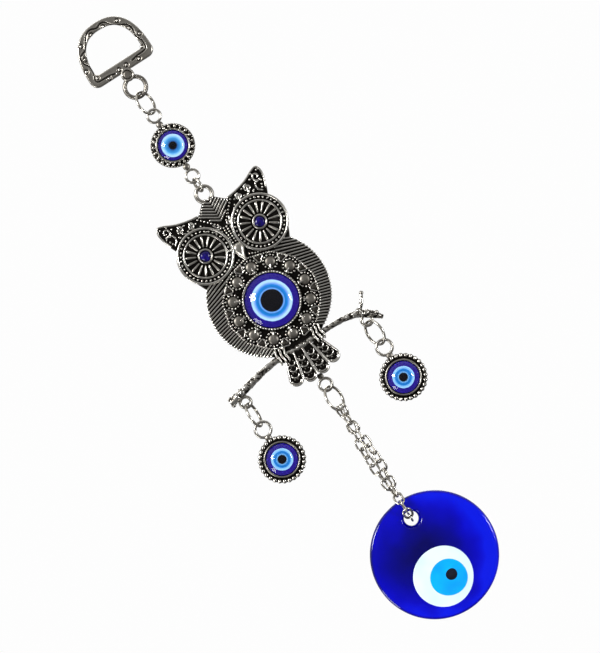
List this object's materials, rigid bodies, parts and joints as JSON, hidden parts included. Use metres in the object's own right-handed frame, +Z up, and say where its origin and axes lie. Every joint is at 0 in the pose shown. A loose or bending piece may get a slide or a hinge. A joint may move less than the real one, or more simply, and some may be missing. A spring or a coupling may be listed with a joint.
{
  "type": "evil eye ornament",
  "caption": "Hanging wall charm: D hanger, eye connector, cast owl with a blue eye belly, eye charms on its branches, and a twisted chain carrying a blue glass eye disc.",
  "frame": {"origin": "top inside of the D hanger's opening, where a hook or nail holds it", "axes": "+Z up, the ornament hangs along -Z; front faces -Y; width along X"},
  "size_m": [0.0701, 0.0117, 0.2484],
  "materials": {
    "pewter": "antique-plated zinc casting, dark in the recesses and rubbed bright on the high spots",
    "nickel_wire": "nickel-plated wire, softly shiny",
    "eye_print": "printed concentric eye under glass",
    "clear_glass": "clear polished glass cabochon",
    "blue_stone": "dark blue glass stone",
    "cobalt_glass": "deep cobalt glass, glossy",
    "white_glass": "opal white glass, glossy",
    "cyan_glass": "opaque cyan glass, glossy",
    "black_glass": "opaque black glass, glossy"
  },
  "bodies": {
    "hanger": {"hanger_frame": "pewter"},
    "top_ring": {"top_jump_ring": "nickel_wire"},
    "connector": {"connector_setting": "pewter", "connector_eye_print": "eye_print", "connector_dome": "clear_glass"},
    "owl_ring": {"owl_jump_ring": "nickel_wire"},
    "owl": {"owl_casting": "pewter", "perch_branch": "pewter", "tail_feathers": "pewter", "belly_eye_print": "eye_print", "belly_dome": "clear_glass", "left_eye_stone": "blue_stone", "right_eye_stone": "blue_stone"},
    "left_ring": {"left_jump_ring": "nickel_wire"},
    "left_charm": {"left_charm_setting": "pewter", "left_charm_eye_print": "eye_print", "left_charm_dome": "clear_glass"},
    "right_ring": {"right_jump_ring": "nickel_wire"},
    "right_charm": {"right_charm_setting": "pewter", "right_charm_eye_print": "eye_print", "right_charm_dome": "clear_glass"},
    "tail_ring": {"tail_jump_ring": "nickel_wire"},
    "chain_pair_01": {"chain_link_a_01": "nickel_wire", "chain_link_b_01": "nickel_wire"},
    "chain_pair_02": {"chain_link_a_02": "nickel_wire", "chain_link_b_02": "nickel_wire"},
    "chain_pair_03": {"chain_link_a_03": "nickel_wire", "chain_link_b_03": "nickel_wire"},
    "chain_pair_04": {"chain_link_a_04": "nickel_wire", "chain_link_b_04": "nickel_wire"},
    "chain_pair_05": {"chain_link_a_05": "nickel_wire", "chain_link_b_05": "nickel_wire"},
    "chain_pair_06": {"chain_link_a_06": "nickel_wire", "chain_link_b_06": "nickel_wire"},
    "chain_pair_07": {"chain_link_a_07": "nickel_wire", "chain_link_b_07": "nickel_wire"},
    "chain_pair_08": {"chain_link_a_08": "nickel_wire", "chain_link_b_08": "nickel_wire"},
    "chain_pair_09": {"chain_link_a_09": "nickel_wire", "chain_link_b_09": "nickel_wire"},
    "chain_pair_10": {"chain_link_a_10": "nickel_wire", "chain_link_b_10": "nickel_wire"},
    "chain_pair_11": {"chain_link_a_11": "nickel_wire", "chain_link_b_11": "nickel_wire"},
    "chain_bight": {"bight_link_front_1": "nickel_wire", "bight_link_back_1": "nickel_wire", "bight_link_front_2": "nickel_wire", "bight_link_back_2": "nickel_wire", "bight_link_front_3": "nickel_wire", "bight_link_back_3": "nickel_wire", "bight_link_hole": "nickel_wire"},
    "glass_eye": {"glass_disc": "cobalt_glass", "glass_white": "white_glass", "glass_iris": "cyan_glass", "glass_pupil": "black_glass"}
  },
  "joints": [
    {"name": "top_ring_swing", "type": "hinge", "parent": "hanger", "child": "top_ring", "pos_m": [0, 0, -0.028], "axis": [1, 0, 0], "range_deg": [-35, 35]},
    {"name": "connector_swing", "type": "hinge", "parent": "top_ring", "child": "connector", "pos_m": [0, 0, -0.03535], "axis": [0.5592, 0.829, 0], "range_deg": [-30, 30]},
    {"name": "owl_ring_swing", "type": "hinge", "parent": "connector", "child": "owl_ring", "pos_m": [0, 0, -0.0642], "axis": [-1, 0, 0], "range_deg": [-35, 35]},
    {"name": "owl_swing", "type": "hinge", "parent": "owl_ring", "child": "owl", "pos_m": [0, 0, -0.06815], "axis": [0.3486, -0.9373, 0], "range_deg": [-30, 30]},
    {"name": "left_ring_swing", "type": "hinge", "parent": "owl", "child": "left_ring", "pos_m": [-0.0275, 0, -0.1421], "axis": [1, 0, 0], "range_deg": [-35, 35]},
    {"name": "left_charm_swing", "type": "hinge", "parent": "left_ring", "child": "left_charm", "pos_m": [-0.0275, 0, -0.15015], "axis": [0.309, 0.9511, 0], "range_deg": [-30, 30]},
    {"name": "right_ring_swing", "type": "hinge", "parent": "owl", "child": "right_ring", "pos_m": [0.0248, 0, -0.1407], "axis": [-1, 0, 0], "range_deg": [-35, 35]},
    {"name": "right_charm_swing", "type": "hinge", "parent": "right_ring", "child": "right_charm", "pos_m": [0.0248, 0, -0.14875], "axis": [0.5592, -0.829, 0], "range_deg": [-30, 30]},
    {"name": "tail_ring_swing", "type": "hinge", "parent": "owl", "child": "tail_ring", "pos_m": [0, 0, -0.15255], "axis": [1, 0, 0], "range_deg": [-35, 35]},
    {"name": "chain_swing", "type": "hinge", "parent": "tail_ring", "child": "chain_pair_01", "pos_m": [0, 0, -0.16053], "axis": [0.5592, 0.829, 0], "range_deg": [-20, 20]},
    {"name": "chain_bend_01", "type": "hinge", "parent": "chain_pair_01", "child": "chain_pair_02", "pos_m": [0, 0, -0.16306], "axis": [0.2511, 0.9679, 0], "range_deg": [-6, 6]},
    {"name": "chain_bend_02", "type": "hinge", "parent": "chain_pair_02", "child": "chain_pair_03", "pos_m": [0, 0, -0.16646], "axis": [0.0856, -0.9963, 0], "range_deg": [-6, 6]},
    {"name": "chain_bend_03", "type": "hinge", "parent": "chain_pair_03", "child": "chain_pair_04", "pos_m": [0, 0, -0.16986], "axis": [-0.4125, 0.9109, 0], "range_deg": [-6, 6]},
    {"name": "chain_bend_04", "type": "hinge", "parent": "chain_pair_04", "child": "chain_pair_05", "pos_m": [0, 0, -0.17326], "axis": [0.6924, -0.7215, 0], "range_deg": [-6, 6]},
    {"name": "chain_bend_05", "type": "hinge", "parent": "chain_pair_05", "child": "chain_pair_06", "pos_m": [0, 0, -0.17667], "axis": [-0.8932, 0.4497, 0], "range_deg": [-6, 6]},
    {"name": "chain_bend_06", "type": "hinge", "parent": "chain_pair_06", "child": "chain_pair_07", "pos_m": [0, 0, -0.18007], "axis": [0.992, -0.1266, 0], "range_deg": [-6, 6]},
    {"name": "chain_bend_07", "type": "hinge", "parent": "chain_pair_07", "child": "chain_pair_08", "pos_m": [0, 0, -0.18347], "axis": [-0.9775, -0.211, 0], "range_deg": [-6, 6]},
    {"name": "chain_bend_08", "type": "hinge", "parent": "chain_pair_08", "child": "chain_pair_09", "pos_m": [0, 0, -0.18687], "axis": [0.8514, 0.5245, 0], "range_deg": [-6, 6]},
    {"name": "chain_bend_09", "type": "hinge", "parent": "chain_pair_09", "child": "chain_pair_10", "pos_m": [0, 0, -0.19028], "axis": [-0.6281, -0.7781, 0], "range_deg": [-6, 6]},
    {"name": "chain_bend_10", "type": "hinge", "parent": "chain_pair_10", "child": "chain_pair_11", "pos_m": [0, 0, -0.19368], "axis": [0.3331, 0.9429, 0], "range_deg": [-6, 6]},
    {"name": "bight_swing", "type": "hinge", "parent": "chain_pair_11", "child": "chain_bight", "pos_m": [0, 0, -0.19708], "axis": [0, -1, 0], "range_deg": [-6, 6]},
    {"name": "glass_swing", "type": "hinge", "parent": "chain_bight", "child": "glass_eye", "pos_m": [0, 0, -0.20679], "axis": [0, 1, 0], "range_deg": [-20, 20]}
  ]
}
